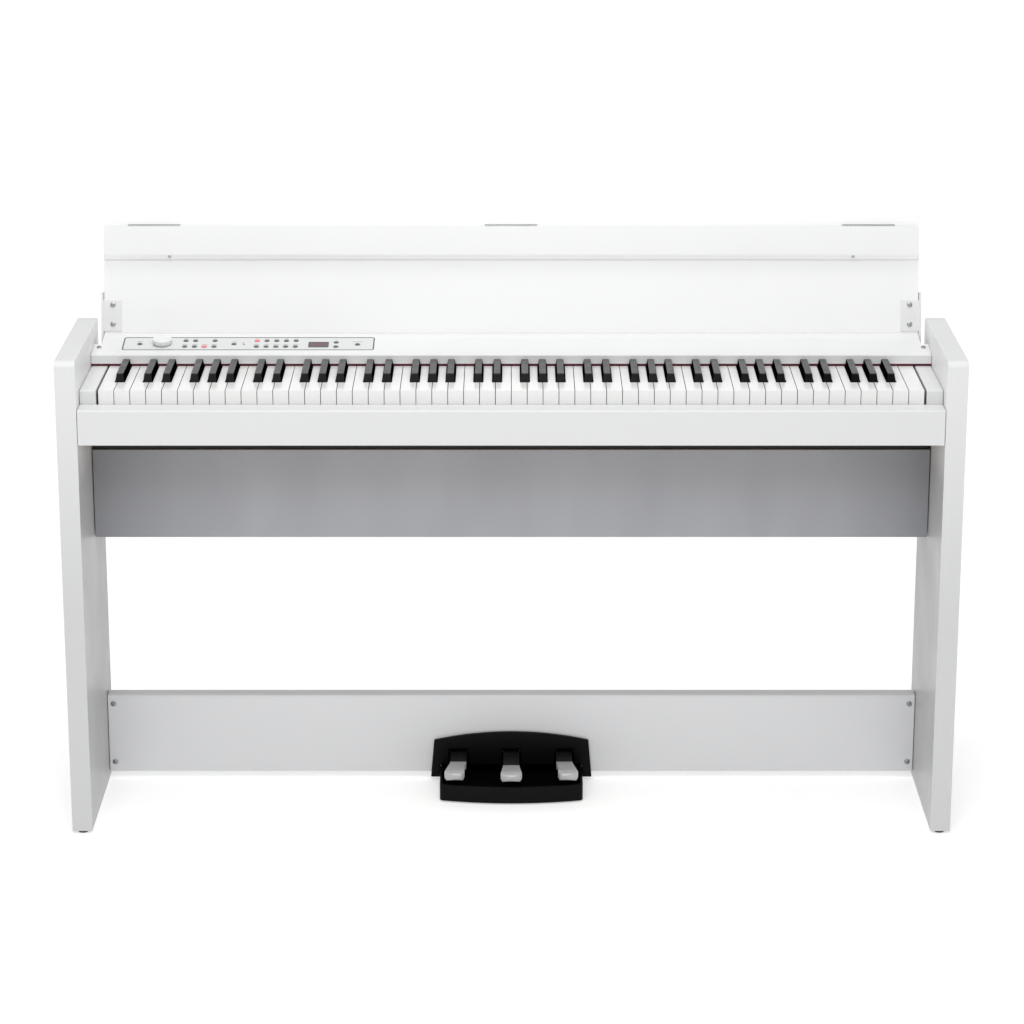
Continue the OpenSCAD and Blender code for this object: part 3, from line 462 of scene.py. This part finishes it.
# Radius of the rounded edges of each node that has any, in millimetres
EDGE_RADIUS = {
    "left_side_panel": 1.2, "right_side_panel": 1.2, "key_slip": 1.2, "cheek_blocks": 1.5,
    "lid_board": 1.2, "flap_board": 1.2, "stretcher": 1.2, "rear_cover": 0.6, "keybed": 0.5,
    "speaker_grille": 0.8, "speaker_box": 1.0, "pedal_base": 1.6, "pedal_back_plate": 1.4,
    "left_pedal": 1.3, "middle_pedal": 1.3, "right_pedal": 1.3, "top_panel": 0.5,
    "lid_brackets": 0.5, "display_window": 0.3, "rear_jack_panel": 0.5, "main_board": 0.15,
    "control_board": 0.15, "felt_strip": 0.4, "key_rest_felt": 0.6, "key_frame": 0.5,
}
WHITE_KEY_EDGE = 0.7
BLACK_KEY_EDGE = 0.9


def edge_radius(node, slot):
    if slot == "white_key":
        return WHITE_KEY_EDGE
    if slot == "black_key":
        return BLACK_KEY_EDGE
    return EDGE_RADIUS.get(node, 0)


def round_edges(obj, radius):
    """Joins the imported faces, merges flat ones and rounds the sharp edges."""
    weld = obj.modifiers.new("join_faces", "WELD")
    weld.merge_threshold = 0.01 * MM
    flat = obj.modifiers.new("merge_flat_faces", "DECIMATE")
    flat.decimate_type = "DISSOLVE"
    flat.angle_limit = math.radians(0.5)
    bevel = obj.modifiers.new("round_edges", "BEVEL")
    bevel.width = radius * MM
    bevel.segments = 3
    bevel.limit_method = "ANGLE"
    bevel.angle_limit = math.radians(35)
    normals = obj.modifiers.new("even_shading", "WEIGHTED_NORMAL")
    normals.keep_sharp = True
    normals.weight = 100


def dress_cad_nodes():
    """Gives every CAD node its material, and rounded edges where the real piece has them."""
    for row in frame["record"]["subparts"]:
        node, slot = row["node"], row["material_slot"]
        obj = NODES[node]
        obj.data.materials.clear()
        obj.data.materials.append(OWN_MATERIALS.get(node, SLOT_MATERIALS[slot]))
        radius = edge_radius(node, slot)
        if radius:
            round_edges(obj, radius)


# ---- pieces on the control panel ----

# Height of the panel's front lip, and how far a printed line sinks in and stands proud
LIP_RISE = 14 * MM
INK_SUNK = 0.05 * MM
OUTLINE_PROUD = 0.12 * MM
MARK_PROUD = 0.06 * MM

# Places along X of the button columns, in millimetres
EFFECT_COLUMNS = [-501.3 + 15 * i for i in range(4)]
SOUND_COLUMNS = [-391.4 + 15 * i for i in range(5)]
LIT_EFFECT = EFFECT_COLUMNS[2]
LIT_SOUND = SOUND_COLUMNS[0]


def panel_frame():
    """Matrix of the sloped panel's own plane: X, distance up the slope, height above it."""
    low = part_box("top_panel")[0]
    return Matrix.Translation((0, low.y, low.z + LIP_RISE)) @ Matrix.Rotation(SLOPE, 4, "X")


def new_piece(name, bm, material, body):
    mesh = bpy.data.meshes.new(name)
    bm.normal_update()
    bm.to_mesh(mesh)
    bm.free()
    mesh.materials.append(material)
    obj = bpy.data.objects.new(name, mesh)
    bpy.context.scene.collection.objects.link(obj)
    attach(obj, body)
    return obj


def rounded_outline(cx, cy, width, depth, radius, steps=8):
    """Points of a rectangle with round corners, going round once."""
    points = []
    for quarter in range(4):
        start = quarter * math.pi / 2
        sx = 1 if quarter in (0, 3) else -1
        sy = 1 if quarter in (0, 1) else -1
        corner = (cx + sx * (width / 2 - radius), cy + sy * (depth / 2 - radius))
        for i in range(steps + 1):
            a = start + i / steps * math.pi / 2
            points.append((corner[0] + radius * math.cos(a), corner[1] + radius * math.sin(a)))
    return points


def add_prism(bm, outline, z0, z1, matrix):
    """A closed flat solid over an outline, from height z0 to z1."""
    rings = [[bm.verts.new(matrix @ Vector((x, y, z))) for x, y in outline] for z in (z0, z1)]
    bm.faces.new(list(reversed(rings[0])))
    bm.faces.new(rings[1])
    count = len(outline)
    for i in range(count):
        j = (i + 1) % count
        bm.faces.new((rings[0][i], rings[0][j], rings[1][j], rings[1][i]))


def add_band(bm, outer, inner, z0, z1, matrix):
    """A closed frame between two outlines with the same number of points."""
    loops = [[bm.verts.new(matrix @ Vector((x, y, z))) for x, y in line]
             for line, z in ((outer, z0), (outer, z1), (inner, z1), (inner, z0))]
    count = len(outer)
    for k in range(4):
        a, b = loops[k], loops[(k + 1) % 4]
        for i in range(count):
            j = (i + 1) % count
            bm.faces.new((a[i], a[j], b[j], b[i]))


def control_outline():
    """The thin dark line round the controls."""
    line, corner = 1.8 * MM, 5 * MM
    width, depth = FIELD_X[1] - FIELD_X[0], FIELD_UP[1] - FIELD_UP[0]
    centre = (sum(FIELD_X) / 2, sum(FIELD_UP) / 2)
    outer = rounded_outline(*centre, width, depth, corner)
    inner = rounded_outline(*centre, width - 2 * line, depth - 2 * line, corner - line)
    bm = bmesh.new()
    add_band(bm, outer, inner, -INK_SUNK, OUTLINE_PROUD, panel_frame())
    new_piece("control_outline", bm, printed_ink("outline_ink", (0.03, 0.031, 0.034)),
              "cabinet")


def button_marks():
    """Plain dashes beside the buttons, where the real panel has small print."""
    bm = bmesh.new()
    matrix = panel_frame()
    length, thick, corner = 8.4, 1.1 * MM, 0.45 * MM
    lower = EFFECT_COLUMNS + SOUND_COLUMNS
    upper = [x for x in lower if x != LIT_EFFECT]
    places = [(x, 59.4, length) for x in upper] + [(x, 38.6, length) for x in lower]
    power, bank = (-571, 49.2, 9), (-426.4, 48.6, length)
    record, value = (-236.3, 48.4, 16), (-269.4, 56, 3)
    places += [power, bank, record, value]
    for x, y, long in places:
        outline = rounded_outline(x * MM, y * MM, long * MM, thick, corner, 3)
        add_prism(bm, outline, -INK_SUNK, MARK_PROUD, matrix)
    new_piece("button_marks", bm, printed_ink("mark_ink", (0.2, 0.2, 0.205)),
              "cabinet")


def display_digits():
    """Three unlit seven-segment figures behind the window, with a faint painted glow."""
    bm = bmesh.new()
    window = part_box("display_window")
    matrix = panel_frame()
    cx, cy = (window[0].x + window[1].x) / 2, 37.8 * MM
    high, wide, thick, gap = 9 * MM, 5 * MM, 0.9 * MM, 8.2 * MM
    glass, sunk, proud = 0.3 * MM, 0.1 * MM, 0.04 * MM
    bars = [(0, 0, 1), (0, high / 2, 1), (0, -high / 2, 1)]
    bars += [(sx * wide / 2, sy * high / 4, 0) for sx in (-1, 1) for sy in (-1, 1)]
    for digit in (-1, 0, 1):
        for x, y, flat in bars:
            size = (wide - thick, thick) if flat else (thick, high / 2 - thick)
            outline = rounded_outline(cx + digit * gap + x, cy + y, *size, thick * 0.45, 3)
            add_prism(bm, outline, glass - sunk, glass + proud, matrix)
    new_piece("display_digits", bm, glowing("display_segments_painted_glow", (0.16, 0.012, 0.012), 0.5),
              "cabinet")


def lit_cap(name, x, y, body):
    """A red lens over the top of a lit button."""
    radius, rise, base = 3.7 * MM, 0.2 * MM, 0.7 * MM
    rim, skirt = 0.15 * MM, -0.2 * MM
    rings, sides = 6, 40
    matrix = panel_frame() @ Matrix.Translation((x * MM, y * MM, base))
    bm = bmesh.new()
    crown = bm.verts.new(matrix @ Vector((0, 0, rise + rim)))
    previous = None
    for k in range(1, rings + 2):
        share = min(k / rings, 1)
        r = radius * share
        z = skirt if k > rings else rise * (1 - share ** 2) + rim
        ring = [bm.verts.new(matrix @ Vector((r * math.cos(a), r * math.sin(a), z)))
                for a in (2 * math.pi * i / sides for i in range(sides))]
        for i in range(sides):
            j = (i + 1) % sides
            if previous is None:
                bm.faces.new((crown, ring[i], ring[j]))
            else:
                bm.faces.new((previous[i], ring[i], ring[j], previous[j]))
        previous = ring
    bm.faces.new(list(reversed(previous)))
    obj = new_piece(name, bm, glowing("lit_button", (0.7, 0.13, 0.13), 0.55), body)
    for face in obj.data.polygons:
        face.use_smooth = len(face.vertices) <= 4


# ---- studio ----

WORLD_LIGHT = 0.32
FLOOR_GLOW_NEAR = 0.4
FLOOR_GLOW_FAR = 0.74
GLOW_REACH = (1.0, 5.0)
FLOOR_HALF = 30


def studio_floor():
    """A pale floor that glows more away from the object."""
    half = FLOOR_HALF
    mesh = bpy.data.meshes.new("studio_floor")
    bm = bmesh.new()
    for x, y in ((-half, -half), (half, -half), (half, half), (-half, half)):
        bm.verts.new((x, y, 0))
    bm.faces.new(bm.verts)
    bm.to_mesh(mesh)
    bm.free()
    s = Shader("pale_floor", (0.9, 0.9, 0.9), 0.7)
    s.set("Emission Color", (1, 1, 1, 1))
    s.set("Specular IOR Level", 0.2)
    away = s.ramp(s.distance(), *GLOW_REACH, FLOOR_GLOW_NEAR, FLOOR_GLOW_FAR)
    s.link(away, s.bsdf.inputs["Emission Strength"])
    s.vary_color(0.004, 0.7)
    mesh.materials.append(s.material)
    floor = bpy.data.objects.new("studio_floor", mesh)
    bpy.context.scene.collection.objects.link(floor)


def soft_light(name, place, target, size, power):
    data = bpy.data.lights.new(name, "AREA")
    data.shape = "RECTANGLE"
    data.size, data.size_y = size
    data.energy = power
    lamp = bpy.data.objects.new(name, data)
    lamp.location = place
    lamp.rotation_euler = (Vector(target) - Vector(place)).to_track_quat("-Z", "Y").to_euler()
    lamp.visible_camera = False
    bpy.context.scene.collection.objects.link(lamp)


def studio_lights():
    lid = (0, 0, 0.8)
    soft_light("key_light", (-0.35, -1.9, 2.35), lid, (1.7, 1.0), 26)
    soft_light("fill_light", (0.5, -2.6, 2.2), lid, (1.7, 1.0), 14)
    soft_light("top_light", (0, -0.2, 2.9), lid, (3.0, 1.2), 34)
    soft_light("back_light", (0, 2.8, 2.4), lid, (3.6, 1.6), 14)
    world = bpy.data.worlds.new("studio_air")
    world.use_nodes = True
    air = world.node_tree.nodes["Background"]
    air.inputs["Color"].default_value = (1, 1, 1, 1)
    air.inputs["Strength"].default_value = WORLD_LIGHT
    bpy.context.scene.world = world


CAMERA_DISTANCE = 4.4285
CAMERA_HEIGHT = 1.908
CAMERA_PITCH = math.radians(15.74)


def camera():
    """A long lens in front of the middle of the keyboard, looking a little down."""
    front = cad_box[0][1]
    data = bpy.data.cameras.new("photo_view")
    data.lens = 109.6
    data.sensor_width = 36
    data.shift_x = 0.0007
    data.shift_y = -0.09
    data.clip_end = 200
    cam = bpy.data.objects.new("photo_view", data)
    cam.location = (0, front - CAMERA_DISTANCE, CAMERA_HEIGHT)
    cam.rotation_euler = (math.pi / 2 - CAMERA_PITCH, 0, 0)
    bpy.context.scene.collection.objects.link(cam)
    bpy.context.scene.camera = cam


camera()
dress_cad_nodes()
control_outline()
button_marks()
display_digits()
lit_cap("effect_button_light", LIT_EFFECT, 30.5, "effect_buttons")
lit_cap("sound_button_light", LIT_SOUND, 52, "sound_buttons")
studio_floor()
studio_lights()
bpy.context.scene.view_settings.view_transform = "Standard"
